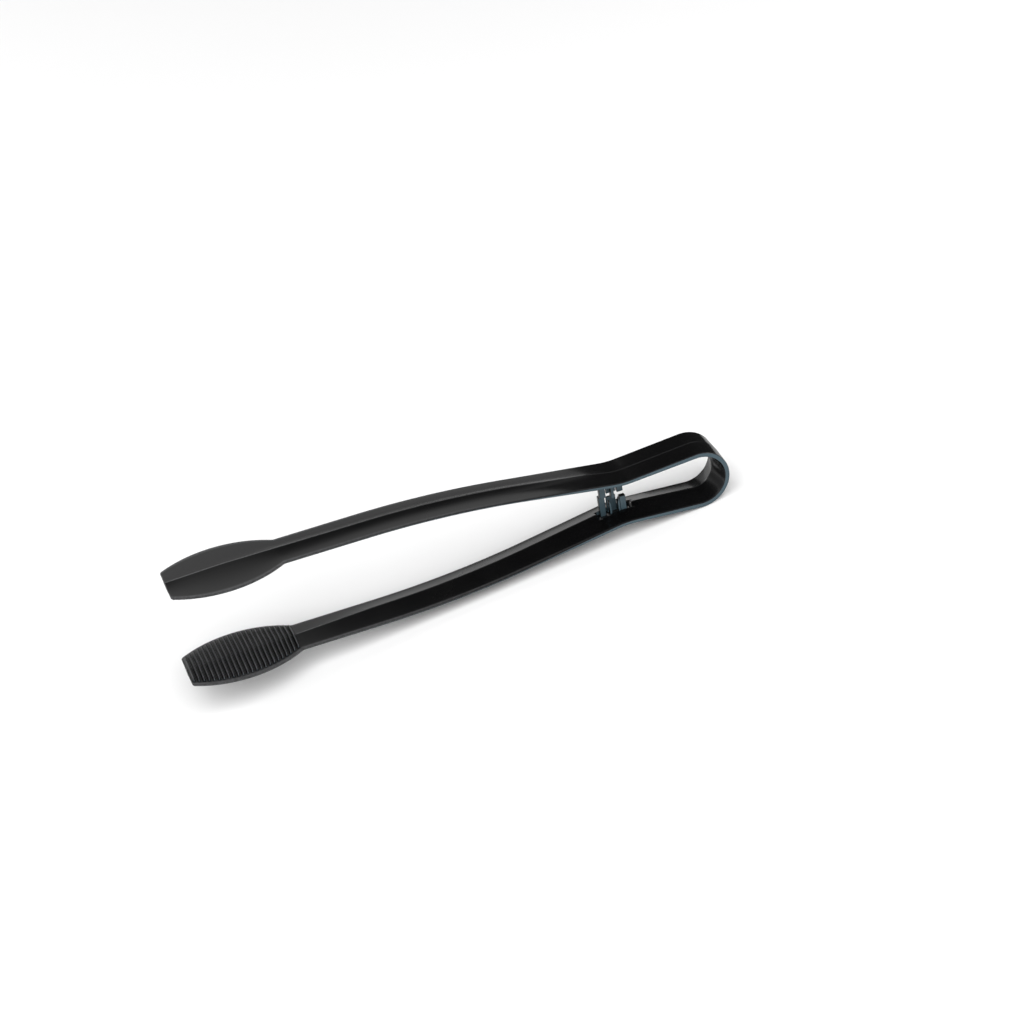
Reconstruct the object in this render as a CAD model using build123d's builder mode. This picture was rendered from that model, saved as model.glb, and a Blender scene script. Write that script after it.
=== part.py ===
from build123d import *
import os
from math import asin, cos, degrees, radians, sin, sqrt

# One-hand spring tongs of black plastic: a U-shaped spring bow, two handles, a neck with an
# interlocking guide, two bowed arms and two leaf-shaped jaws with ribbed inner faces.
# Millimetres. +X points from the jaws to the bow, Y runs across the width and +Z is up, the
# direction in which the arms open: the upper half is above the XY plane, the lower half below.
# The origin is the middle of the overall box, where the two planes of symmetry cross.

# ---- driving dimensions ----
OVERALL_LENGTH = 229.0
BAND_HALF_WIDTH = 9.2          # bow, handles and arms
JAW_LENGTH = 45.0
JAW_HALF_WIDTH = 16.4          # widest place of the jaw
TIP_HALF_WIDTH = 10.1          # straight-cut tip
JAW_HALF_GAP = 20.7            # middle of the jaw's rim to the axis, tongs open

BOW_OUTER_RADIUS = 12.6
BOW_EDGE = 1.9                 # thickness of the band at its side edges
NECK_EDGE = 1.5
ARM_EDGE = 1.0
JAW_EDGE = 0.9
HANDLE_LENGTH = 27.8
HANDLE_ANGLE = 4.5             # each handle leans in towards the neck
ARM_ANGLE = 9.0                # each arm leans out after the neck
NECK_RADIUS = 34.0
ARM_BEND_RADIUS = 400.0
NECK_AFTER_BEND = 4.5          # straight stretch between the neck's bend and the arm's crest

# height of the crest line over the side edges: (outer face, inner face)
BOW_CREST = (0.25, 2.3)
HANDLE_END_CREST = (0.25, 3.2)
NECK_CREST = (0.5, 3.0)
ARM_START_CREST = (0.9, 3.0)
ARM_CREST = (1.5, 2.8)
JAW_ROOT_CREST = (1.8, 1.4)
JAW_CREST = (2.0, 1.3)
JAW_TIP_CREST = (1.2, 1.0)
FLANK_FULLNESS = 0.3           # 0.5 is a straight flank, less is hollow

# the living hinges: where each leg of the bow flexes against its middle
HINGE_ANGLE = 45.0             # above and below the XY plane, seen from the bow's centre
HINGE_GAP = 0.3

# grip ribs
RIB_COUNT = 24
RIB_WIDTH = 1.0
RIB_HEIGHT = 1.5
RIB_END_GAP = 0.6              # tip end and root end of the ribbed field
RIB_MARGIN = 2.4               # smooth margin between the ribs and the jaw's rim

# pocket along the middle of the neck's inner face, where the guide stands
POCKET_HALF_WIDTH = 2.6
POCKET_FLOOR = 0.6             # height of its floor over the side edges

# interlocking guide on the mid-plane
GUIDE_HALF_WIDTH = 2.2
GUIDE_SPLIT_GAP = 0.15         # each tab stays this far off the mid-plane
FINGER_FROM_BOW = 47.9         # from the end of the bow to the middle of the finger
FINGER_NECK = 1.3
FINGER_HEAD = 1.8              # the finger's end is an arrowhead
HEAD_LENGTH = 2.6
HEAD_POINT = 0.9
FINGER_TIP_Z = -0.8
WEB_FROM_BOW = 47.95           # plates behind the finger and the slot: the upper one nearer
WEB_LENGTH = 4.1
WEB_THICKNESS = 0.8
WEB_CLEARANCE = 0.3
UPPER_WEB_Z = 1.2              # bottom of the upper plate
LOWER_WEB_Z = -1.0             # top of the lower plate
SLOT_WIDTH = 2.8
SLOT_SHIFT = 0.3               # the slot stands this much nearer the bow than the finger
SLOT_BOTTOM_Z = -8.2
MOUTH_WIDTH = 4.0              # flared mouth that leads the finger into the slot
MOUTH_DEPTH = 5.2
GUIDE_TOP_Z = -1.3
GUIDE_LENGTH = 4.6
TAB_LENGTH = 2.6
TAB_CORNER = 0.6
FRONT_TABS_FROM_BOW = 52.1
REAR_TABS_FROM_BOW = 44.0
UPPER_FRONT_TAB_Z = 0.9
UPPER_REAR_TAB_Z = 0.3
LOWER_FRONT_TAB_Z = 0.2
LOWER_REAR_TAB_Z = -0.5

# ---- worked-out places ----
half_length = OVERALL_LENGTH / 2
bow_radius = BOW_OUTER_RADIUS - BOW_EDGE / 2
bow_centre_x = half_length - BOW_OUTER_RADIUS - BOW_CREST[0]
bow_axis = Axis((bow_centre_x, 0, 0), (0, -1, 0))
jaw_root_x = JAW_LENGTH - half_length


def blend_pair(first, second, share):
    """Crest heights between two pairs."""
    return tuple(a + (b - a) * share for a, b in zip(first, second))


# ---- middle line of the upper half's rim, from the end of the bow to the jaw's tip ----
with BuildLine(Plane.XZ) as upper_line:
    bow_arc = CenterArc((bow_centre_x, 0), bow_radius, 0, 90 + HANDLE_ANGLE)
    handle_line = PolarLine(bow_arc @ 1, HANDLE_LENGTH, direction=bow_arc % 1)
    neck_arc = JernArc(handle_line @ 1, handle_line % 1, NECK_RADIUS, -(HANDLE_ANGLE + ARM_ANGLE))
    bend_rise = ARM_BEND_RADIUS * (1 - cos(radians(ARM_ANGLE)))
    shank_rise = JAW_HALF_GAP - bend_rise - (neck_arc @ 1).Z
    shank_length = shank_rise / sin(radians(ARM_ANGLE))
    shank_line = PolarLine(neck_arc @ 1, shank_length, direction=neck_arc % 1)
    bend_arc = JernArc(shank_line @ 1, shank_line % 1, ARM_BEND_RADIUS, ARM_ANGLE)
    root_line = Line(bend_arc @ 1, (jaw_root_x, JAW_HALF_GAP))
    jaw_line = Line((jaw_root_x, JAW_HALF_GAP), (-half_length, JAW_HALF_GAP))


def strip_section(line, share, half_width, edge, crest):
    """Cross-section of the strip square to its middle line, its own +Y outwards: thin side
    edges, a low crest on the outer face and a taller one on the inner face, hollow flanks."""
    outer_crest, inner_crest = crest
    outer = edge / 2
    inner = -edge / 2
    middle = half_width / 2
    outer_hollow = outer + outer_crest * FLANK_FULLNESS
    inner_hollow = inner - inner_crest * FLANK_FULLNESS
    plane = Plane(origin=line @ share, x_dir=(0, -1, 0), z_dir=line % share)
    with BuildSketch(plane) as section:
        with BuildLine():
            ThreePointArc((-half_width, outer), (-middle, outer_hollow), (0, outer + outer_crest))
            ThreePointArc((0, outer + outer_crest), (middle, outer_hollow), (half_width, outer))
            Line((half_width, outer), (half_width, inner))
            ThreePointArc((half_width, inner), (middle, inner_hollow), (0, inner - inner_crest))
            ThreePointArc((0, inner - inner_crest), (-middle, inner_hollow), (-half_width, inner))
            Line((-half_width, inner), (-half_width, outer))
        make_face()
    return section.sketch


# ---- spring bow: the band turned round the bow's axis ----
hinge_half_gap = degrees(HINGE_GAP / 2 / bow_radius)

with BuildPart() as spring_bow:
    add(strip_section(bow_arc, 0, BAND_HALF_WIDTH, BOW_EDGE, BOW_CREST))
    revolve(axis=bow_axis, revolution_arc=HINGE_ANGLE - hinge_half_gap)
    mirror(about=Plane.XY)

leg_start = (HINGE_ANGLE + hinge_half_gap) / (90 + HANDLE_ANGLE)

with BuildPart() as upper_bow_leg:
    add(strip_section(bow_arc, leg_start, BAND_HALF_WIDTH, BOW_EDGE, BOW_CREST))
    revolve(axis=bow_axis, revolution_arc=(90 + HANDLE_ANGLE) * (1 - leg_start))

# ---- handle: straight, its inner crest growing towards the neck ----
with BuildPart() as upper_handle:
    add(strip_section(handle_line, 0, BAND_HALF_WIDTH, BOW_EDGE, BOW_CREST))
    add(strip_section(handle_line, 1, BAND_HALF_WIDTH, NECK_EDGE, HANDLE_END_CREST))
    loft(ruled=True)

# ---- neck: the bend, with a pocket in its inner face that makes room for the guide ----
neck_end = NECK_AFTER_BEND / shank_length
neck_stations = ((neck_arc, 0), (neck_arc, 0.5), (neck_arc, 1), (shank_line, neck_end))


def pocket_section(line, share):
    """Cross-section of the neck's pocket, open towards the axis."""
    plane = Plane(origin=line @ share, x_dir=(0, -1, 0), z_dir=line % share)
    with BuildSketch(plane) as section:
        with Locations((0, -NECK_EDGE / 2 - POCKET_FLOOR)):
            Rectangle(2 * POCKET_HALF_WIDTH, NECK_CREST[1], align=(Align.CENTER, Align.MAX))
    return section.sketch


with BuildPart() as neck_pocket:
    for line, share in neck_stations:
        add(pocket_section(line, share))
    loft()

with BuildPart() as upper_neck:
    for line, share in neck_stations:
        add(strip_section(line, share, BAND_HALF_WIDTH, NECK_EDGE, NECK_CREST))
    loft()
    add(neck_pocket.part, mode=Mode.SUBTRACT)

# ---- arm: leans out, then bends back until it is parallel to the axis ----
with BuildPart() as upper_arm:
    add(strip_section(shank_line, neck_end, BAND_HALF_WIDTH, NECK_EDGE, ARM_START_CREST))
    middle_crest = blend_pair(ARM_START_CREST, ARM_CREST, 0.5)
    add(strip_section(shank_line, 0.55, BAND_HALF_WIDTH, (NECK_EDGE + ARM_EDGE) / 2, middle_crest))
    add(strip_section(shank_line, 1, BAND_HALF_WIDTH, ARM_EDGE, ARM_CREST))
    for share in (0.33, 0.67, 1):
        add(strip_section(bend_arc, share, BAND_HALF_WIDTH, ARM_EDGE, ARM_CREST))
    root_crest = blend_pair(ARM_CREST, JAW_ROOT_CREST, 0.5)
    add(strip_section(root_line, 0.5, BAND_HALF_WIDTH, ARM_EDGE, root_crest))
    add(strip_section(root_line, 1, BAND_HALF_WIDTH, JAW_EDGE, JAW_ROOT_CREST))
    loft()

# ---- jaw: a leaf whose two sides are arcs through root, widest place and tip ----
leaf_sagitta = JAW_HALF_WIDTH - (BAND_HALF_WIDTH + TIP_HALF_WIDTH) / 2
leaf_radius = ((JAW_LENGTH / 2) ** 2 + leaf_sagitta**2) / (2 * leaf_sagitta)
leaf_lean = asin((TIP_HALF_WIDTH - BAND_HALF_WIDTH) / 2 / leaf_radius)
leaf_centre = JAW_LENGTH / 2 + leaf_radius * sin(leaf_lean)


def leaf_half_width(distance):
    """Half width of the jaw at a distance from its root."""
    return JAW_HALF_WIDTH - leaf_radius + sqrt(leaf_radius**2 - (distance - leaf_centre) ** 2)


def leaf_crest(share):
    """Crest heights along the jaw."""
    if share < 0.5:
        return blend_pair(JAW_ROOT_CREST, JAW_CREST, share * 2)
    return blend_pair(JAW_CREST, JAW_TIP_CREST, share * 2 - 1)


jaw_shares = [step / 7 for step in range(8)]

with BuildPart() as upper_jaw:
    for share in jaw_shares:
        add(strip_section(jaw_line, share, leaf_half_width(share * JAW_LENGTH), JAW_EDGE, leaf_crest(share)))
    loft()

# ---- grip ribs: bars across the inner face, all of them following its crest ----
rib_field = JAW_LENGTH - 2 * RIB_END_GAP
rib_pitch = (rib_field - RIB_WIDTH) / (RIB_COUNT - 1)
groove_width = rib_pitch - RIB_WIDTH
rib_field_x = -half_length + JAW_LENGTH / 2

with BuildPart() as upper_grip_ribs:
    for share in jaw_shares:
        rib_half_width = leaf_half_width(share * JAW_LENGTH) - RIB_MARGIN
        add(strip_section(jaw_line, share, rib_half_width, JAW_EDGE + 2 * RIB_HEIGHT, leaf_crest(share)))
    loft()
    with Locations((rib_field_x, 0, JAW_HALF_GAP)):
        with GridLocations(rib_pitch, 1, RIB_COUNT - 1, 1):
            Box(groove_width, 2 * JAW_HALF_WIDTH, JAW_HALF_GAP, mode=Mode.SUBTRACT)
    for end in (-1, 1):
        with Locations((rib_field_x + end * (rib_field / 2 + RIB_END_GAP), 0, JAW_HALF_GAP)):
            Box(2 * RIB_END_GAP, 2 * JAW_HALF_WIDTH, JAW_HALF_GAP, mode=Mode.SUBTRACT)
    split(bisect_by=Plane.XY.offset(JAW_HALF_GAP), keep=Keep.BOTTOM)
    add(upper_jaw.part, mode=Mode.SUBTRACT)

# ---- lower half: the mirror image of the upper half ----
mirrored = {}
for name, upper in (
    ("lower_bow_leg", upper_bow_leg),
    ("lower_handle", upper_handle),
    ("lower_neck", upper_neck),
    ("lower_arm", upper_arm),
    ("lower_jaw", upper_jaw),
    ("lower_grip_ribs", upper_grip_ribs),
):
    with BuildPart() as lower:
        mirror(upper.part, about=Plane.XY)
    mirrored[name] = lower.part

# ---- interlocking guide: a finger on the upper neck slides down a slot on the lower neck ----
finger_x = half_length - FINGER_FROM_BOW
slot_x = finger_x + SLOT_SHIFT
neck_middle_z = (neck_arc @ 0.5).Z

with BuildPart() as guide_finger:
    with BuildSketch(Plane.XZ):
        with BuildLine():
            Polyline(
                (finger_x - FINGER_NECK / 2, neck_middle_z),
                (finger_x - FINGER_NECK / 2, FINGER_TIP_Z + HEAD_LENGTH),
                (finger_x - FINGER_HEAD / 2, FINGER_TIP_Z + HEAD_POINT),
                (finger_x, FINGER_TIP_Z),
                (finger_x + FINGER_HEAD / 2, FINGER_TIP_Z + HEAD_POINT),
                (finger_x + FINGER_NECK / 2, FINGER_TIP_Z + HEAD_LENGTH),
                (finger_x + FINGER_NECK / 2, neck_middle_z),
                close=True,
            )
        make_face()
    extrude(amount=GUIDE_HALF_WIDTH)
    add(upper_neck.part, mode=Mode.SUBTRACT)

with BuildPart() as slotted_guide:
    with BuildSketch(Plane.XZ.offset(WEB_CLEARANCE)):
        with Locations((slot_x, GUIDE_TOP_Z)):
            Rectangle(GUIDE_LENGTH, neck_middle_z + GUIDE_TOP_Z, align=(Align.CENTER, Align.MAX))
        with Locations((slot_x, SLOT_BOTTOM_Z + SLOT_WIDTH / 2)):
            Circle(SLOT_WIDTH / 2, mode=Mode.SUBTRACT)
            Rectangle(SLOT_WIDTH, neck_middle_z, align=(Align.CENTER, Align.MIN), mode=Mode.SUBTRACT)
        with BuildLine():
            Polyline(
                (slot_x - MOUTH_WIDTH / 2, GUIDE_TOP_Z),
                (slot_x, GUIDE_TOP_Z - MOUTH_DEPTH),
                (slot_x + MOUTH_WIDTH / 2, GUIDE_TOP_Z),
                close=True,
            )
        make_face(mode=Mode.SUBTRACT)
    extrude(amount=GUIDE_HALF_WIDTH - WEB_CLEARANCE)
    add(mirrored["lower_neck"], mode=Mode.SUBTRACT)


# ---- webs: the upper plate passes between the slotted guide and the lower plate ----
def guide_web(neck, root_z, end_z, near_y):
    """A plate on the far side of the guide, from one neck towards the other."""
    with BuildPart() as web:
        with BuildSketch(Plane.XZ.offset(-near_y)):
            with Locations((half_length - WEB_FROM_BOW, (root_z + end_z) / 2)):
                Rectangle(WEB_LENGTH, abs(root_z - end_z))
        extrude(amount=-WEB_THICKNESS)
        add(neck, mode=Mode.SUBTRACT)
    return web.part


upper_web = guide_web(upper_neck.part, neck_middle_z, UPPER_WEB_Z, 0)
lower_web_y = WEB_THICKNESS + WEB_CLEARANCE
lower_web = guide_web(mirrored["lower_neck"], -neck_middle_z, LOWER_WEB_Z, lower_web_y)

# ---- tabs: each pair passes side by side, one in each half of the guide's width ----
def guide_tab(neck, from_bow, root_z, end_z, near_half):
    """A block with rounded end corners, from one neck towards the other, in one half of the width."""
    start = GUIDE_SPLIT_GAP if near_half else -GUIDE_HALF_WIDTH
    with BuildPart() as tab:
        with BuildSketch(Plane.XZ.offset(start)):
            with Locations((half_length - from_bow, (root_z + end_z) / 2)):
                block = Rectangle(TAB_LENGTH, abs(root_z - end_z))
            end_corners = block.vertices().sort_by(lambda corner: abs(corner.Z - end_z))[:2]
            fillet(end_corners, TAB_CORNER)
        extrude(amount=GUIDE_HALF_WIDTH - GUIDE_SPLIT_GAP)
        add(neck, mode=Mode.SUBTRACT)
    return tab.part


upper_root = (upper_neck.part, neck_middle_z)
lower_root = (mirrored["lower_neck"], -neck_middle_z)
tabs = {}
for name, (neck, root_z), from_bow, end_z, near_half in (
    ("upper_front_tab", upper_root, FRONT_TABS_FROM_BOW, UPPER_FRONT_TAB_Z, True),
    ("upper_rear_tab", upper_root, REAR_TABS_FROM_BOW, UPPER_REAR_TAB_Z, False),
    ("lower_front_tab", lower_root, FRONT_TABS_FROM_BOW, LOWER_FRONT_TAB_Z, False),
    ("lower_rear_tab", lower_root, REAR_TABS_FROM_BOW, LOWER_REAR_TAB_Z, True),
):
    tabs[name] = guide_tab(neck, from_bow, root_z, end_z, near_half)

# ---- named pieces ----
pieces = {
    "spring_bow": spring_bow.part,
    "upper_bow_leg": upper_bow_leg.part,
    "upper_handle": upper_handle.part,
    "upper_neck": upper_neck.part,
    "upper_arm": upper_arm.part,
    "upper_jaw": upper_jaw.part,
    "upper_grip_ribs": upper_grip_ribs.part,
    "guide_finger": guide_finger.part,
    "upper_guide_web": upper_web,
    "lower_guide_web": lower_web,
    "slotted_guide": slotted_guide.part,
    **tabs,
    **mirrored,
}

os.makedirs("parts", exist_ok=True)
for name, piece in pieces.items():
    piece.label = name
    export_step(piece, f"parts/{name}.step")
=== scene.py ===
from math import asin, cos, pi, radians, sin, sqrt

import bpy
import numpy as np
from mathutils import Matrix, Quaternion, Vector


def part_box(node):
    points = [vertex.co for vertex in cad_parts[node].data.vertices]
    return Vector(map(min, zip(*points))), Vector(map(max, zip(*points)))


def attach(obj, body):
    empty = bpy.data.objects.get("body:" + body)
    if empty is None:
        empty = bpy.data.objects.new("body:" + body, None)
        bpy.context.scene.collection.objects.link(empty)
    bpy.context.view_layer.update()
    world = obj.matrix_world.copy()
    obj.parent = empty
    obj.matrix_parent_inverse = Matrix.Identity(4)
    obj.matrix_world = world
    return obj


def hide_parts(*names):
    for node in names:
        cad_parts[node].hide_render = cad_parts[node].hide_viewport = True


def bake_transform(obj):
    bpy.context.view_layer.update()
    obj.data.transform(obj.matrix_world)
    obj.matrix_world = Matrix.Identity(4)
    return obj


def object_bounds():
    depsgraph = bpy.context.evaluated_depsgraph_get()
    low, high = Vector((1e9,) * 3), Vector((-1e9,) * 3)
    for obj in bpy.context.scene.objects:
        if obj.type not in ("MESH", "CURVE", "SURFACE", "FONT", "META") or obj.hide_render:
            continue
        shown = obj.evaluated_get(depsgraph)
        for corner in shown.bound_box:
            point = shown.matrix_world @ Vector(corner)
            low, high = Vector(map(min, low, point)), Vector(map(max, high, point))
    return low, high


# One-hand spring tongs of black plastic. The strip of the tongs is drawn here as one smooth
# surface for each half, from the end of the bow to the jaw's tip, with rounded rims and crests,
# and is cut into pieces where the CAD nodes meet. The ribs and the guide are pieces of their own.
# Metres, in the CAD frame: +X from the jaws to the bow, +Z up.

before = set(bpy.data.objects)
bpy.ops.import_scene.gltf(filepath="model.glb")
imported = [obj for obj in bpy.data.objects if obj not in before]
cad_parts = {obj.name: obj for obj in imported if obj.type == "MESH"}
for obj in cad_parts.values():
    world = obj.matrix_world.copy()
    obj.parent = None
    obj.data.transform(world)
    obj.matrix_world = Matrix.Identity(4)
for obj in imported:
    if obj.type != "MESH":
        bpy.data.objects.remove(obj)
cad_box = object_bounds()
MM = 0.001

# ---- sizes of the strip ----
BOW_EDGE = 1.9 * MM            # thickness at the side edges
NECK_EDGE = 1.5 * MM
ARM_EDGE = 1.0 * MM
JAW_EDGE = 0.9 * MM
HANDLE_LENGTH = 27.8 * MM
HANDLE_ANGLE = radians(4.5)    # each handle leans in towards the neck
ARM_ANGLE = radians(9.0)       # each arm leans out after the neck
NECK_RADIUS = 34.0 * MM
ARM_BEND_RADIUS = 400.0 * MM
NECK_AFTER_BEND = 4.5 * MM

# height of the crests over the side edges
BOW_OUTER_CREST = 0.25 * MM
NECK_OUTER_CREST = 0.5 * MM
ARM_START_OUTER_CREST = 0.9 * MM
ARM_OUTER_CREST = 1.5 * MM
JAW_ROOT_OUTER_CREST = 1.8 * MM
JAW_OUTER_CREST = 2.0 * MM
TIP_OUTER_CREST = 1.2 * MM
BOW_INNER_CREST = 2.3 * MM
HANDLE_END_INNER_CREST = 3.2 * MM
ARM_START_INNER_CREST = 3.0 * MM
ARM_INNER_CREST = 2.8 * MM
JAW_ROOT_INNER_CREST = 1.4 * MM
JAW_INNER_CREST = 1.3 * MM
TIP_INNER_CREST = 1.0 * MM

POCKET_HALF_WIDTH = 2.6 * MM   # pocket in the neck's inner face, where the guide stands
POCKET_WALL = 0.08 * MM        # its walls lean by this much
POCKET_FLOOR = 0.6 * MM        # height over the side edges
BOW_RIM = (0.35 * MM, 0.25 * MM)   # rounding of the rims: (across the face, down the side edge)
ARM_RIM = (1.3 * MM, 0.42 * MM)
CREST_ROUND = 0.012            # share of the half width over which a crest is rounded
BOW_HOLLOW = 1.2               # 1 is a straight flank, more is hollow
NECK_HOLLOW = 2.2
ARM_HOLLOW = 2.7
JAW_HOLLOW = 2.0
INNER_HOLLOW = 1.15
HANDLE_NOSE = 2.8 * MM         # rounded ends of the inner crests at the neck
ARM_NOSE = 1.4 * MM
TIP_CORNER = 0.9 * MM          # corner radius of the jaw's tip, in plan
END_ROUND = 0.25 * MM          # rounding of the tip's end face
TIP_HALF_WIDTH = 10.1 * MM
ROOT_FILLET = 0.15 * MM        # softens the corner where the jaw leaves the arm
ROOT_REACH = 3.0 * MM          # rows are closer together within this of the jaw's root
SMOOTHING = 5.0 * MM           # length over which changes of section are smoothed
SAME_PLACE = 1e-7              # distances nearer than this are the same row

# how finely the strip is divided
BOW_ROWS = 49
HANDLE_ROWS = 24
NECK_ROWS = 14
ARM_ROWS = 90
ROOT_ROWS = 25
JAW_ROWS = 40
ROUND_ROWS = 9                 # over the nose of a crest or the rounding of the tip
CREST_COLUMNS = 9              # from the crest over the pocket
CREST_SPACING = 1.4            # 1 is even, more is closer together at the crest
RIM_COLUMNS = 13               # from the pocket's wall to the rim
CORNER_COLUMNS = 6
SMOOTHING_SAMPLES = 9

# wear and painted highlight on the crests and rims: 0 is none
ARM_WEAR_AND_HIGHLIGHT = 0.25
JAW_WEAR_AND_HIGHLIGHT = 1.0
CREST_SIDE_SHARE = 0.6         # first column beside a crest, as a share of the crest's wear and painted highlight
RIM_SHARE = 0.5                # rims, as a share of the crest's wear and painted highlight

# ---- sizes read from the frame ----
half_length = cad_box[1].x
band_half_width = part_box("spring_bow")[1].y
bow_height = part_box("upper_bow_leg")[1].z
bow_radius = bow_height - BOW_OUTER_CREST - BOW_EDGE / 2
bow_centre_x = half_length - bow_height
jaw_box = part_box("upper_jaw")
jaw_root_x = jaw_box[1].x
jaw_length = jaw_root_x + half_length
jaw_half_width = jaw_box[1].y
jaw_height = jaw_box[1].z - JAW_OUTER_CREST - JAW_EDGE / 2


# ---- middle line of the upper half's rim ----
def outward(angle):
    """Direction out of the outer face where the strip has turned by an angle from the bow's end."""
    return np.array((cos(angle), sin(angle)))


class MiddleLine:
    """Straight runs and arcs in the XZ plane, measured from the end of the bow."""

    def __init__(self, start):
        self.runs = []
        self.end = np.array(start)
        self.angle = 0.0
        self.length = 0.0

    def add(self, length, turn=0.0):
        self.runs.append((self.length, self.end, self.angle, turn / length))
        self.end, self.angle = self.place(self.length + length)
        self.length += length
        return self.length

    def place(self, distance):
        """Point and outward angle at a distance along the line."""
        started = [run for run in self.runs if run[0] <= distance] or self.runs[:1]
        start, point, angle, bend = started[-1]
        turned = angle + bend * (distance - start)
        if bend:
            return point + (outward(turned) - outward(angle)) / bend, turned
        along = np.array((-sin(angle), cos(angle)))
        return point + along * (distance - start), turned


line = MiddleLine((bow_centre_x + bow_radius, 0.0))
bow_end = line.add(bow_radius * (pi / 2 + HANDLE_ANGLE), pi / 2 + HANDLE_ANGLE)
handle_end = line.add(HANDLE_LENGTH)
neck_turn = HANDLE_ANGLE + ARM_ANGLE
neck_bend_end = line.add(NECK_RADIUS * neck_turn, -neck_turn)
neck_end = neck_bend_end + NECK_AFTER_BEND
bend_rise = ARM_BEND_RADIUS * (1 - cos(ARM_ANGLE))
shank_end = line.add((jaw_height - bend_rise - line.end[1]) / sin(ARM_ANGLE))
bend_end = line.add(ARM_BEND_RADIUS * ARM_ANGLE, ARM_ANGLE)
jaw_start = line.add(line.end[0] - jaw_root_x)
tip = line.add(jaw_length)
jaw_middle = (jaw_start + tip) / 2


# ---- how the section changes along the line ----
def smooth_keys(distance, *keys):
    """Value at a distance from (distance, value) keys, averaged over a short window."""
    places, values = zip(*keys)
    window = np.linspace(-SMOOTHING, SMOOTHING, SMOOTHING_SAMPLES)
    return np.mean(np.interp(distance + window, places, values))


def edge_at(distance):
    return smooth_keys(
        distance,
        (bow_end, BOW_EDGE),
        (handle_end, NECK_EDGE),
        (neck_end, NECK_EDGE),
        (shank_end, ARM_EDGE),
        (bend_end, ARM_EDGE),
        (jaw_start, JAW_EDGE),
    )


def rim_at(distance):
    share = smooth_keys(distance, (handle_end, 0), (shank_end, 1))
    return [bow + (arm - bow) * share for bow, arm in zip(BOW_RIM, ARM_RIM)]


def outer_crest_at(distance):
    return smooth_keys(
        distance,
        (handle_end, BOW_OUTER_CREST),
        (neck_bend_end, NECK_OUTER_CREST),
        (neck_end, ARM_START_OUTER_CREST),
        (shank_end, ARM_OUTER_CREST),
        (bend_end, ARM_OUTER_CREST),
        (jaw_start, JAW_ROOT_OUTER_CREST),
        (jaw_middle, JAW_OUTER_CREST),
        (tip, TIP_OUTER_CREST),
    )


def outer_hollow_at(distance):
    return smooth_keys(
        distance,
        (handle_end, BOW_HOLLOW),
        (neck_end, NECK_HOLLOW),
        (shank_end, ARM_HOLLOW),
        (bend_end, ARM_HOLLOW),
        (jaw_start, JAW_HOLLOW),
    )


def inner_crest_at(distance):
    return smooth_keys(
        distance,
        (bow_end, BOW_INNER_CREST),
        (handle_end, HANDLE_END_INNER_CREST),
        (neck_end, ARM_START_INNER_CREST),
        (shank_end, ARM_INNER_CREST),
        (bend_end, ARM_INNER_CREST),
        (jaw_start, JAW_ROOT_INNER_CREST),
        (jaw_middle, JAW_INNER_CREST),
        (tip, TIP_INNER_CREST),
    )


def pocket_depth_at(distance):
    """How deep the pocket is, as a share; its two ends are rounded like the nose of a crest."""
    from_end = max((handle_end - distance) / HANDLE_NOSE, (distance - neck_end) / ARM_NOSE)
    share = np.clip(from_end, 0, 1)
    return 1 - sqrt(1 - (1 - share) ** 2)


leaf_sagitta = jaw_half_width - (band_half_width + TIP_HALF_WIDTH) / 2
leaf_radius = ((jaw_length / 2) ** 2 + leaf_sagitta**2) / (2 * leaf_sagitta)
leaf_lean = asin((TIP_HALF_WIDTH - band_half_width) / 2 / leaf_radius)
leaf_centre = jaw_length / 2 + leaf_radius * sin(leaf_lean)
fillet_reach = 4 * ROOT_FILLET


def leaf_half_width(from_root):
    """Half width of the leaf-shaped jaw, whose sides are arcs."""
    return jaw_half_width - leaf_radius + sqrt(leaf_radius**2 - (from_root - leaf_centre) ** 2)


def rounded_loss(from_end, radius):
    """How far a quarter-round corner stands back at a distance from the end."""
    short = max(radius - from_end, 0)
    return radius - sqrt(radius**2 - short**2)


def half_width_at(distance):
    """Half width of the strip: the wider of the band and the leaf, with a small fillet between."""
    from_root = distance - jaw_start
    if from_root < -fillet_reach:
        return band_half_width
    wider = (leaf_half_width(from_root) - band_half_width) / 2
    width = band_half_width + wider + sqrt(wider**2 + ROOT_FILLET**2)
    return width - rounded_loss(tip - distance, TIP_CORNER)


# ---- section of the strip ----
crest_shares = np.linspace(0, 1, CREST_COLUMNS) ** CREST_SPACING
rim_shares = np.linspace(0, 1, RIM_COLUMNS)
corner_angles = np.linspace(pi / 2, 0, CORNER_COLUMNS)[1:]


def flank_heights(shares, hollow):
    """Height as a share of the crest's, from the crest (0) to the rim (1)."""
    soft = np.sqrt(shares**2 + CREST_ROUND**2) - CREST_ROUND
    soft = soft / (sqrt(1 + CREST_ROUND**2) - CREST_ROUND)
    return (1 - soft) ** hollow


def flank_columns(flat):
    """Distances across a flank from its crest to its rim, with a step at the pocket's wall."""
    wall = POCKET_HALF_WIDTH + POCKET_WALL
    return np.concatenate((POCKET_HALF_WIDTH * crest_shares, wall + (flat - wall) * rim_shares))


def half_face(half_width, half_edge, crest, hollow, rim, pocket_depth=0):
    """Points (across, height) from a face's crest to the middle of the side edge."""
    rim_across, rim_drop = rim
    flat = half_width - rim_across
    across = flank_columns(flat)
    rise = crest * flank_heights(across / flat, hollow)
    pocket = across <= POCKET_HALF_WIDTH
    rise[pocket] -= np.maximum(rise[pocket] - POCKET_FLOOR, 0) * pocket_depth
    flank = np.stack((across, half_edge + rise), axis=1)
    across = flat + rim_across * np.cos(corner_angles)
    height = half_edge - rim_drop + rim_drop * np.sin(corner_angles)
    return np.concatenate((flank, np.stack((across, height), axis=1)))


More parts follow.
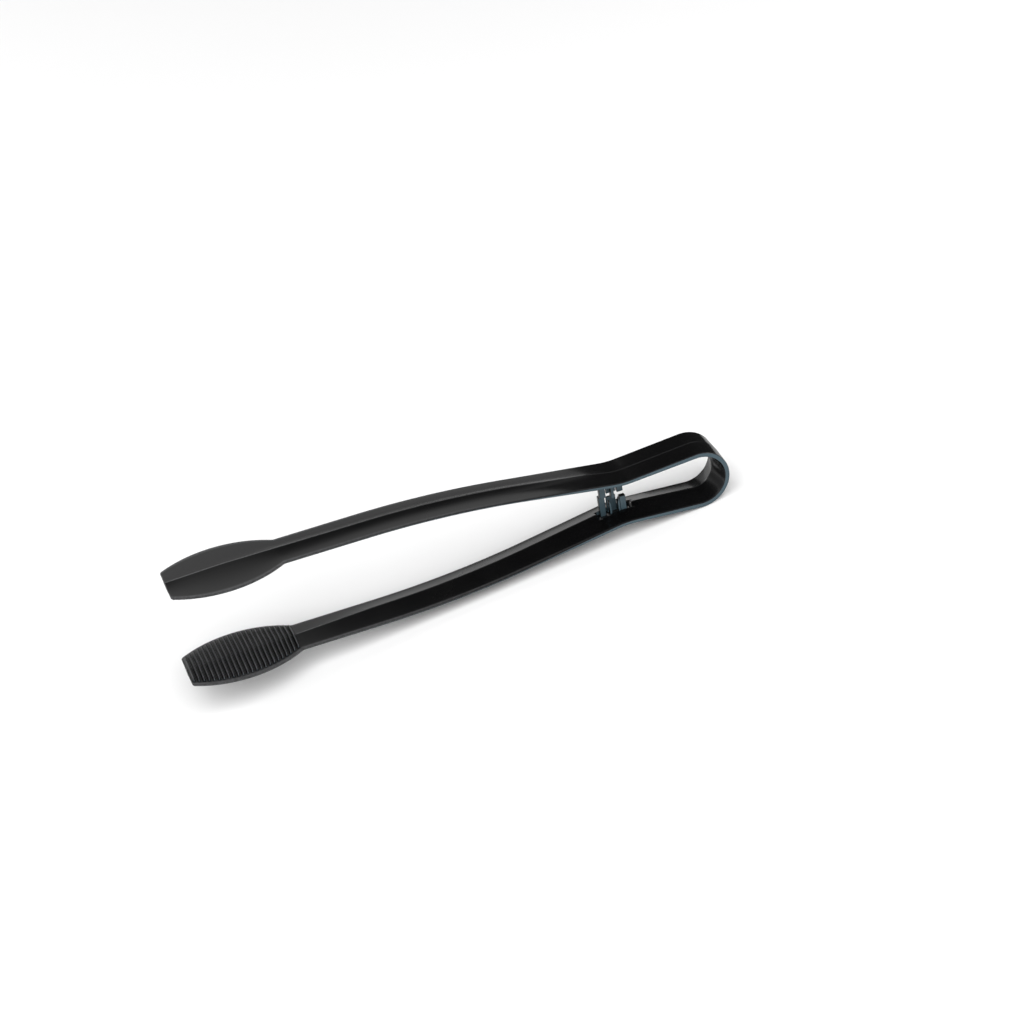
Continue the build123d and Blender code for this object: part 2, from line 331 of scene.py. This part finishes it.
def section(distance):
    """Closed section (across, outwards) of the strip, round from the outer crest."""
    half_width = half_width_at(distance)
    half_edge = edge_at(distance) / 2
    rim = rim_at(distance)
    end_loss = rounded_loss(tip - distance, END_ROUND)
    outer = half_face(half_width, half_edge, outer_crest_at(distance), outer_hollow_at(distance), rim)
    inner_crest = inner_crest_at(distance)
    inner = half_face(half_width, half_edge, inner_crest, INNER_HOLLOW, rim, pocket_depth_at(distance))
    outer[:, 1] -= end_loss
    inner[:, 1] -= end_loss
    right = np.concatenate((outer, inner[::-1] * (1, -1)))
    left = right[-2:0:-1] * (-1, 1)
    return np.concatenate((right, left))


def edge_marks(distance):
    """How strongly each point of a section is marked: wear and a painted highlight on crests and rims,
    more so at the jaw.
    """
    wear_and_highlight = smooth_keys(distance, (shank_end, ARM_WEAR_AND_HIGHLIGHT), (jaw_start, JAW_WEAR_AND_HIGHLIGHT))
    flank = np.zeros(len(crest_shares) + len(rim_shares))
    flank[:2] = (wear_and_highlight, wear_and_highlight * CREST_SIDE_SHARE)
    flank[-1] = wear_and_highlight * RIM_SHARE
    half = np.concatenate((flank, np.full(len(corner_angles), wear_and_highlight * RIM_SHARE)))
    right = np.concatenate((half, half[::-1]))
    return np.concatenate((right, right[-2:0:-1]))


# ---- the surface of a half ----
def stations():
    """Distances of the rows: even steps, closer where the section changes quickly."""
    quarter = 1 - np.cos(np.linspace(0, pi / 2, ROUND_ROWS))
    rows = [
        np.linspace(0, bow_end, BOW_ROWS),
        np.linspace(bow_end, handle_end - HANDLE_NOSE, HANDLE_ROWS),
        handle_end - HANDLE_NOSE * quarter,
        np.linspace(handle_end, neck_end, NECK_ROWS),
        neck_end + ARM_NOSE * quarter,
        np.linspace(neck_end + ARM_NOSE, jaw_start - ROOT_REACH, ARM_ROWS),
        np.linspace(jaw_start - ROOT_REACH, jaw_start + ROOT_REACH, ROOT_ROWS),
        np.linspace(jaw_start + ROOT_REACH, tip - TIP_CORNER, JAW_ROWS),
        tip - TIP_CORNER * quarter,
        tip - END_ROUND * quarter,
    ]
    return np.unique(np.round(np.concatenate(rows), 7))


def surface_row(distance):
    """Points of the upper half's surface at a distance, in the frame."""
    point, angle = line.place(distance)
    out = outward(angle)
    shape = section(distance)
    places = point + shape[:, 1:] * out
    return np.stack((places[:, 0], shape[:, 0], places[:, 1]), axis=1)


# normals come from the neighbouring rows, so one row before the start is needed as well
distances = stations()
before_start = -distances[1]
rows = np.array([surface_row(d) for d in np.concatenate(([before_start], distances))])
along = np.gradient(rows, axis=0)
around = np.roll(rows, -1, axis=1) - np.roll(rows, 1, axis=1)
row_normals = np.cross(around, along)
row_normals /= np.linalg.norm(row_normals, axis=2, keepdims=True)
rows = rows[1:]
row_normals = row_normals[1:]
marks = np.array([edge_marks(d) for d in distances])


def add_object(name, vertices, faces):
    """A new mesh object in the scene."""
    mesh = bpy.data.meshes.new(name)
    mesh.from_pydata(vertices, [], faces)
    made = bpy.data.objects.new(name, mesh)
    bpy.context.scene.collection.objects.link(made)
    return made


def mark_wear_and_highlight(mesh, wear_and_highlight):
    """Stores how strongly each vertex is marked with wear and a painted highlight, which the material
    reads.
    """
    mesh.attributes.new("edge_line", "FLOAT", "POINT").data.foreach_set("value", wear_and_highlight)


def face_normal(points):
    """Direction of a flat face, by the cross products of its neighbouring corners."""
    total = Vector()
    for one, other in zip(points, points[1:] + points[:1]):
        total += one.cross(other)
    return total.normalized()


def strip_piece(name, start, end, mirror):
    """The stretch of a half's surface between two distances, closed at both ends."""
    kept = (distances > start - SAME_PLACE) & (distances < end + SAME_PLACE)
    side = np.array((1, 1, mirror))
    count, columns = rows[kept].shape[:2]
    points = (rows[kept] * side).reshape(-1, 3)
    normals = (row_normals[kept] * side).reshape(-1, 3)
    faces = []
    loop_normals = []
    for row in range(count - 1):
        for column in range(columns):
            beside = (column + 1) % columns
            a, b = row * columns + column, row * columns + beside
            face = [a, b, b + columns, a + columns][::mirror]
            faces.append(face)
            loop_normals.extend(normals[face])
    for first, turn in ((0, -1), ((count - 1) * columns, 1)):
        cap = list(range(first, first + columns))[:: turn * mirror]
        faces.append(cap)
        flat = face_normal([Vector(points[corner]) for corner in cap])
        loop_normals.extend([flat] * columns)
    piece = add_object(name, points.tolist(), faces)
    mark_wear_and_highlight(piece.data, marks[kept].ravel())
    piece.data.shade_smooth()
    piece.data.normals_split_custom_set([tuple(normal) for normal in loop_normals])
    return piece


# ---- material: black moulded plastic ----
DARK_BLACK = (0.0012, 0.0012, 0.0013, 1)
LIGHT_BLACK = (0.003, 0.003, 0.0032, 1)
# grey of the crests, rims and rib tops: wear, and a painted highlight along them
WORN_AND_HIGHLIGHT_GREY = (0.15, 0.152, 0.157, 1)
# painted reflection: faces to the side are coloured as if they reflect a bright light from the front
SIDE_PAINTED_REFLECTION_BLUE = (0.048, 0.076, 0.092, 1)
SIDE_FACING = (0.8, 0.97)      # how far a normal points to the side, from no painted reflection to all
SIDE_REFLECTION_SHARES = (0.3, 1.0)       # painted blue-grey reflection on the side faces, at the jaw's root and at the handle
ROUGHNESS = (0.3, 0.1)         # at the jaw's root and at the handle
UNEVEN_ROUGHNESS = 0.12
PLASTIC_IOR = 1.5
CLOUD_SCALE = 60.0             # sizes of the noises, in waves a metre
SPECK_SCALE = 900.0
GRAIN_SCALE = 2500.0
GRAIN_HEIGHT = 0.02 * MM
GRAIN_STRENGTH = 0.15
handle_start_x = bow_centre_x - HANDLE_LENGTH


def node(tree, kind, **values):
    """A new node, its properties and inputs set by name."""
    made = tree.nodes.new(kind)
    for name, value in values.items():
        if hasattr(made, name):
            setattr(made, name, value)
        else:
            made.inputs[name.replace("_", " ")].default_value = value
    return made


def noise(tree, place, scale, detail):
    made = node(tree, "ShaderNodeTexNoise", Scale=scale, Detail=detail)
    tree.links.new(place.outputs["Object"], made.inputs["Vector"])
    return made.outputs["Fac"]


def multiply(tree, first, second):
    made = node(tree, "ShaderNodeMath", operation="MULTIPLY")
    tree.links.new(first, made.inputs[0])
    tree.links.new(second, made.inputs[1])
    return made.outputs["Value"]


def map_range(tree, value, from_range, to_range=(0.0, 1.0)):
    made = node(tree, "ShaderNodeMapRange")
    made.inputs["From Min"].default_value, made.inputs["From Max"].default_value = from_range
    made.inputs["To Min"].default_value, made.inputs["To Max"].default_value = to_range
    tree.links.new(value, made.inputs["Value"])
    return made.outputs["Result"]


def mix_colours(tree, factor, first, second):
    """Mix of two colours; the first is a colour or another node's output."""
    made = node(tree, "ShaderNodeMix", data_type="RGBA")
    tree.links.new(factor, made.inputs["Factor"])
    if isinstance(first, tuple):
        made.inputs["A"].default_value = first
    else:
        tree.links.new(first, made.inputs["A"])
    made.inputs["B"].default_value = second
    return made.outputs["Result"]


def painted_side_reflection(tree, place, along):
    """Share of painted blue-grey reflection: on faces to the side, more of it towards the bow."""
    direction = node(tree, "ShaderNodeSeparateXYZ")
    tree.links.new(place.outputs["Normal"], direction.inputs["Vector"])
    facing = node(tree, "ShaderNodeMath", operation="ABSOLUTE")
    tree.links.new(direction.outputs["Y"], facing.inputs[0])
    side = map_range(tree, facing.outputs["Value"], SIDE_FACING)
    return multiply(tree, side, map_range(tree, along, (jaw_root_x, handle_start_x), SIDE_REFLECTION_SHARES))


def moulded_plastic(name):
    """Black moulded plastic, glossier towards the bow, with wear and painted highlights on crests, rims
    and rib tops and a painted blue-grey reflection on the side faces.
    """
    material = bpy.data.materials.new(name)
    material.use_nodes = True
    tree = material.node_tree
    link = tree.links.new
    shader = tree.nodes["Principled BSDF"]
    shader.inputs["IOR"].default_value = PLASTIC_IOR
    place = node(tree, "ShaderNodeTexCoord")
    xyz = node(tree, "ShaderNodeSeparateXYZ")
    link(place.outputs["Object"], xyz.inputs["Vector"])
    along = xyz.outputs["X"]

    cloud = noise(tree, place, CLOUD_SCALE, 4.0)
    shade = mix_colours(tree, cloud, DARK_BLACK, LIGHT_BLACK)
    # the edge_line mark lightens crests, rims and rib tops: wear and a painted highlight
    mark = node(tree, "ShaderNodeAttribute", attribute_name="edge_line")
    worn_and_highlit = multiply(tree, mark.outputs["Fac"], noise(tree, place, SPECK_SCALE, 3.0))
    colour = mix_colours(tree, worn_and_highlit, shade, WORN_AND_HIGHLIGHT_GREY)
    # painted reflection: blue-grey on the side faces
    colour = mix_colours(tree, painted_side_reflection(tree, place, along), colour, SIDE_PAINTED_REFLECTION_BLUE)
    link(colour, shader.inputs["Base Color"])

    uneven = node(tree, "ShaderNodeMath", operation="MULTIPLY_ADD")
    link(cloud, uneven.inputs[0])
    uneven.inputs[1].default_value = UNEVEN_ROUGHNESS
    link(map_range(tree, along, (jaw_root_x, handle_start_x), ROUGHNESS), uneven.inputs[2])
    link(uneven.outputs["Value"], shader.inputs["Roughness"])

    bump = node(tree, "ShaderNodeBump", Strength=GRAIN_STRENGTH, Distance=GRAIN_HEIGHT)
    link(noise(tree, place, GRAIN_SCALE, 2.0), bump.inputs["Height"])
    link(bump.outputs["Normal"], shader.inputs["Normal"])
    return material


black_plastic = moulded_plastic("black_moulded_plastic")


def finish_piece(piece, nodes):
    """Gives a piece its material and hides the CAD nodes it stands for."""
    piece.data.materials.append(black_plastic)
    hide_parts(*nodes)


# ---- bow: one piece for each half, from the bow's middle to the end of its leg ----
apex, _ = line.place(0)
leg_end, _ = line.place(bow_end)
for half, mirror in (("upper", 1), ("lower", -1)):
    bow = strip_piece(f"{half}_bow_moulded", 0, bow_end, mirror)
    finish_piece(bow, ("spring_bow", f"{half}_bow_leg"))
    start = (apex[0], 0, 0)
    end = (leg_end[0], 0, mirror * leg_end[1])
    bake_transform(bow)

# ---- the rest of the strip ----
STRETCHES = (
    ("handle", bow_end, handle_end),
    ("neck", handle_end, neck_end),
    ("arm", neck_end, jaw_start),
    ("jaw", jaw_start, tip),
)
for half, mirror in (("upper", 1), ("lower", -1)):
    for part, start, end in STRETCHES:
        piece = strip_piece(f"{half}_{part}_moulded", start, end, mirror)
        finish_piece(piece, (f"{half}_{part}",))
        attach(piece, f"{half}_half")

# ---- grip ribs: rounded bars that follow the jaw's inner face ----
RIB_COUNT = 24
RIB_WIDTH = 1.0 * MM           # of the CAD's ribs: the first and last stand half of it inside their box
RIB_FOOT = 1.75 * MM           # the ribs' sides lean, so the grooves between them are V-shaped
RIB_HEIGHT = 1.5 * MM
RIB_MARGIN = 2.4 * MM          # smooth margin between the ribs and the jaw's rim
RIB_SINK = 0.3 * MM            # how far a rib's foot stands in the jaw
RIB_TOP_ROUND = 0.18 * MM
RIB_TOP_WIDTH = 0.36 * MM
RIB_MARKED_DROP = 0.07 * MM      # the wear and painted highlight cover the tops down to this far below their highest line
# strength of the wear and painted highlight on the rib tops
RIB_WEAR_AND_HIGHLIGHT = 0.8
RIB_END_ROUND = 0.5 * MM
RIB_STATIONS = 31
RIB_ROUND_COLUMNS = 9


def rib_profile():
    """Section (along the jaw, height) of a rib from foot to foot, its height from 0 to 1."""
    top = RIB_HEIGHT + RIB_SINK
    angles = np.linspace(pi, 0, RIB_ROUND_COLUMNS)
    round_x = RIB_TOP_WIDTH / 2 * np.cos(angles)
    round_z = top - RIB_TOP_ROUND + RIB_TOP_ROUND * np.sin(angles)
    x = np.concatenate(([-RIB_FOOT / 2], round_x, [RIB_FOOT / 2]))
    z = np.concatenate(([0], round_z, [0]))
    return x, z / top


def rib_points(x, mirror):
    """Rows of points of one rib, from its near end to its far end."""
    distance = tip - (x + half_length)
    reach = leaf_half_width(distance - jaw_start) - RIB_MARGIN
    flat = half_width_at(distance) - rim_at(distance)[0]
    profile_x, profile_z = rib_profile()
    across = -reach * np.cos(np.linspace(0, pi, RIB_STATIONS))
    points = []
    for y in across:
        crest = inner_crest_at(distance) * flank_heights(abs(y) / flat, INNER_HOLLOW)
        foot = edge_at(distance) / 2 + crest - RIB_SINK
        rounded = 1 - rounded_loss(reach - abs(y), RIB_END_ROUND) / RIB_END_ROUND
        height = foot + (RIB_HEIGHT + RIB_SINK) * rounded * profile_z
        row = np.stack((x + profile_x, np.full_like(profile_x, y), jaw_height - height), axis=1)
        points.append(row * (1, 1, mirror))
    return points


def tube_faces(first, count, columns, mirror):
    """Faces of a closed tube of rows of points, with its two ends."""
    faces = []
    for row in range(count - 1):
        for column in range(columns):
            a = first + row * columns + column
            b = first + row * columns + (column + 1) % columns
            faces.append([a, a + columns, b + columns, b][::mirror])
    last = first + (count - 1) * columns
    faces.append(list(range(first, first + columns))[::mirror])
    faces.append(list(range(last, last + columns))[::-mirror])
    return faces


def grip_ribs(name, mirror):
    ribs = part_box("upper_grip_ribs")
    places = np.linspace(ribs[0].x + RIB_WIDTH / 2, ribs[1].x - RIB_WIDTH / 2, RIB_COUNT)
    heights = rib_profile()[1]
    vertices = []
    faces = []
    for x in places:
        points = rib_points(x, mirror)
        faces.extend(tube_faces(len(vertices), RIB_STATIONS, len(heights), mirror))
        vertices.extend(np.concatenate(points).tolist())
    piece = add_object(name, vertices, faces)
    # the rib tops get wear and a painted highlight line
    marked_top = heights > heights.max() - RIB_MARKED_DROP / (RIB_HEIGHT + RIB_SINK)
    mark_wear_and_highlight(piece.data, np.tile(RIB_WEAR_AND_HIGHLIGHT * marked_top, RIB_COUNT * RIB_STATIONS))
    piece.data.shade_smooth()
    return piece


for half, mirror in (("upper", 1), ("lower", -1)):
    ribs = grip_ribs(f"{half}_grip_ribs_moulded", mirror)
    finish_piece(ribs, (f"{half}_grip_ribs",))
    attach(ribs, f"{half}_half")

# ---- interlocking guide: blocks with rounded edges on the mid-plane ----
GUIDE_BEVEL = 0.25 * MM
FINGER_NECK = 1.3 * MM
FINGER_HEAD = 1.8 * MM
HEAD_POINT = 0.9 * MM          # height of the finger's pointed end
HEAD_LENGTH = 2.6 * MM
SLOT_WIDTH = 2.8 * MM
MOUTH_WIDTH = 4.0 * MM
MOUTH_DEPTH = 1.6 * MM
BEVEL_ANGLE = radians(35)      # edges sharper than this are rounded


def guide_block(name, outline, near, far):
    """An outline in the XZ plane carried across the width, its edges rounded."""
    count = len(outline)
    vertices = [(x, y, z) for y in (near, far) for x, z in outline]
    faces = [list(range(count)), list(range(2 * count - 1, count - 1, -1))]
    for i in range(count):
        j = (i + 1) % count
        faces.append([i, i + count, j + count, j])
    piece = add_object(name, vertices, faces)
    piece.data.shade_smooth()
    bevel = piece.modifiers.new("rounded_edges", "BEVEL")
    bevel.width = GUIDE_BEVEL
    bevel.segments = 3
    bevel.limit_method = "ANGLE"
    bevel.angle_limit = BEVEL_ANGLE
    bevel.harden_normals = True
    return piece


def finger_outline():
    """A straight neck and a wider head that ends in a point."""
    low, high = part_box("guide_finger")
    x = (low.x + high.x) / 2
    half = [
        (FINGER_NECK / 2, high.z),
        (FINGER_NECK / 2, low.z + HEAD_LENGTH),
        (FINGER_HEAD / 2, low.z + HEAD_POINT),
    ]
    left = [(x - across, z) for across, z in half]
    right = [(x + across, z) for across, z in half[::-1]]
    return left + [(x, low.z)] + right


def slot_outlines():
    """The two walls beside the slot, left and right, flared at the mouth."""
    low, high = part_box("slotted_guide")
    x = (low.x + high.x) / 2
    inside = [
        (SLOT_WIDTH / 2, low.z),
        (SLOT_WIDTH / 2, high.z - MOUTH_DEPTH),
        (MOUTH_WIDTH / 2, high.z),
    ]
    right = [(x + across, z) for across, z in inside[::-1]]
    left = [(x - across, z) for across, z in inside]
    return [(low.x, low.z), *left, (low.x, high.z)], [(high.x, high.z), *right, (high.x, low.z)]


def plain_blocks(*names):
    """Rows of GUIDE_PIECES for blocks that fill their CAD node's box."""
    blocks = []
    for name in names:
        low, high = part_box(name)
        outline = [(low.x, low.z), (high.x, low.z), (high.x, high.z), (low.x, high.z)]
        blocks.append((name, name, f"{name.split('_')[0]}_half", outline))
    return blocks


left_wall, right_wall = slot_outlines()
GUIDE_PIECES = (               # (piece, CAD node, body, outline)
    ("guide_finger", "guide_finger", "upper_half", finger_outline()),
    *plain_blocks("upper_guide_web", "lower_guide_web"),
    ("slotted_guide_left", "slotted_guide", "lower_half", left_wall),
    ("slotted_guide_right", "slotted_guide", "lower_half", right_wall),
    *plain_blocks("upper_front_tab", "upper_rear_tab", "lower_front_tab", "lower_rear_tab"),
)
for name, cad_node, body, outline in GUIDE_PIECES:
    low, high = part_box(cad_node)
    block = guide_block(f"{name}_moulded", outline, low.y, high.y)
    finish_piece(block, (cad_node,))
    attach(block, body)

# ---- floor, light and camera ----
FLOOR_TILT = radians(6.5)      # leaves room for the lower half to open
FLOOR_SIZE = 4.0
FLOOR_ROUGHNESS = 0.9
FLOOR_WHITE = (0.86, 0.86, 0.86, 1)
FLOOR_REFLECTED = (0.45, 0.45, 0.45, 1)     # the floor as the tongs' reflections show it
floor_up = Vector((-sin(FLOOR_TILT), 0, cos(FLOOR_TILT)))
lowest_place = min(floor_up.dot(Vector(point)) for point in (rows * (1, 1, -1)).reshape(-1, 3))


def make_floor():
    size = FLOOR_SIZE
    corners = [(-size, -size, 0), (size, -size, 0), (size, size, 0), (-size, size, 0)]
    floor = add_object("floor", corners, [(0, 1, 2, 3)])
    floor.location = floor_up * lowest_place
    floor.rotation_mode = "QUATERNION"
    floor.rotation_quaternion = floor_up.to_track_quat("Z", "Y")
    material = bpy.data.materials.new("pale_floor")
    material.use_nodes = True
    tree = material.node_tree
    shader = tree.nodes["Principled BSDF"]
    shader.inputs["Roughness"].default_value = FLOOR_ROUGHNESS
    ray = node(tree, "ShaderNodeLightPath")
    shade = mix_colours(tree, ray.outputs["Is Glossy Ray"], FLOOR_WHITE, FLOOR_REFLECTED)
    tree.links.new(shade, shader.inputs["Base Color"])
    floor.data.materials.append(material)


HORIZON_GREY = 0.35
OVERHEAD_GREY = 0.02
SKY_SHADES = (                 # (sine of the elevation, grey)
    (0.17, 0.3),
    (0.34, 0.42),
    (0.5, 0.8),
    (0.7, 0.85),
    (0.79, 0.4),
    (0.88, 0.06),
)


def make_world():
    """A grey studio, brightest halfway up and dark overhead."""
    world = bpy.data.worlds.new("studio")
    bpy.context.scene.world = world
    world.use_nodes = True
    tree = world.node_tree
    link = tree.links.new
    place = node(tree, "ShaderNodeTexCoord")
    xyz = node(tree, "ShaderNodeSeparateXYZ")
    link(place.outputs["Generated"], xyz.inputs["Vector"])
    ramp = node(tree, "ShaderNodeValToRGB")
    shades = ramp.color_ramp.elements
    shades[0].color = (HORIZON_GREY, HORIZON_GREY, HORIZON_GREY, 1)
    shades[1].color = (OVERHEAD_GREY, OVERHEAD_GREY, OVERHEAD_GREY, 1)
    for position, grey in SKY_SHADES:
        shades.new(position).color = (grey, grey, grey, 1)
    link(xyz.outputs["Z"], ramp.inputs["Fac"])
    link(ramp.outputs["Color"], tree.nodes["Background"].inputs["Color"])


def area_light(name, direction, distance, size, power):
    """A square light that faces the origin."""
    data = bpy.data.lights.new(name, "AREA")
    data.shape = "SQUARE"
    data.size = size
    data.energy = power
    light = bpy.data.objects.new(name, data)
    toward = Vector(direction).normalized()
    light.location = toward * distance
    light.rotation_mode = "QUATERNION"
    light.rotation_quaternion = toward.to_track_quat("Z", "Y")
    light.visible_camera = False
    bpy.context.scene.collection.objects.link(light)
    return light


FLAG_Y = 75.0 * MM
FLAG_NEAR_X = 84.0 * MM        # its upper part starts nearer the jaws than its lower part
FLAG_STEP_X = 104.0 * MM
FLAG_FAR_X = 300.0 * MM
FLAG_BOTTOM_Z = -30.0 * MM
FLAG_STEP_Z = 12.0 * MM
FLAG_TOP_Z = 130.0 * MM
FLAG_BLACK = (0.01, 0.01, 0.01, 1)


def black_flag():
    """A dark card behind the bow, seen only in its reflections on the handles and the bow."""
    outline = (
        (FLAG_STEP_X, FLAG_BOTTOM_Z),
        (FLAG_FAR_X, FLAG_BOTTOM_Z),
        (FLAG_FAR_X, FLAG_TOP_Z),
        (FLAG_NEAR_X, FLAG_TOP_Z),
        (FLAG_NEAR_X, FLAG_STEP_Z),
        (FLAG_STEP_X, FLAG_STEP_Z),
    )
    flag = add_object("black_flag", [(x, FLAG_Y, z) for x, z in outline], [range(len(outline))])
    material = bpy.data.materials.new("black_cloth")
    material.use_nodes = True
    shader = material.node_tree.nodes["Principled BSDF"]
    shader.inputs["Base Color"].default_value = FLAG_BLACK
    flag.data.materials.append(material)
    flag.visible_camera = False
    flag.visible_diffuse = False
    flag.visible_shadow = False


# the photograph's view
VIEW_AZIMUTH = radians(-14.083)
VIEW_ELEVATION = radians(33.126)
VIEW_ROLL = radians(9.359)
VIEW_DISTANCE = 1.1
VIEW_LENS = 97.9
VIEW_AIM = Vector((24.8, -1.4, 7.2)) * MM


def make_camera():
    data = bpy.data.cameras.new("camera")
    data.lens = VIEW_LENS
    camera = bpy.data.objects.new("camera", data)
    level = cos(VIEW_ELEVATION)
    back = Vector((sin(VIEW_AZIMUTH) * level, -cos(VIEW_AZIMUTH) * level, sin(VIEW_ELEVATION)))
    camera.location = VIEW_AIM + back * VIEW_DISTANCE
    camera.rotation_mode = "QUATERNION"
    roll = Quaternion((0, 0, 1), -VIEW_ROLL)
    camera.rotation_quaternion = (-back).to_track_quat("-Z", "Y") @ roll
    bpy.context.scene.collection.objects.link(camera)
    bpy.context.scene.camera = camera


make_floor()
make_world()
black_flag()
key = area_light("key", direction=(-0.3, -0.75, 1.0), distance=1.6, size=1.8, power=36)
key.visible_glossy = False
area_light("right_box", direction=(0.83, -0.13, 0.56), distance=1.2, size=0.4, power=3)
area_light("back_left_box", direction=(-0.4, 0.8, 0.4), distance=1.2, size=0.3, power=2)
make_camera()
bpy.context.scene.view_settings.view_transform = "Standard"
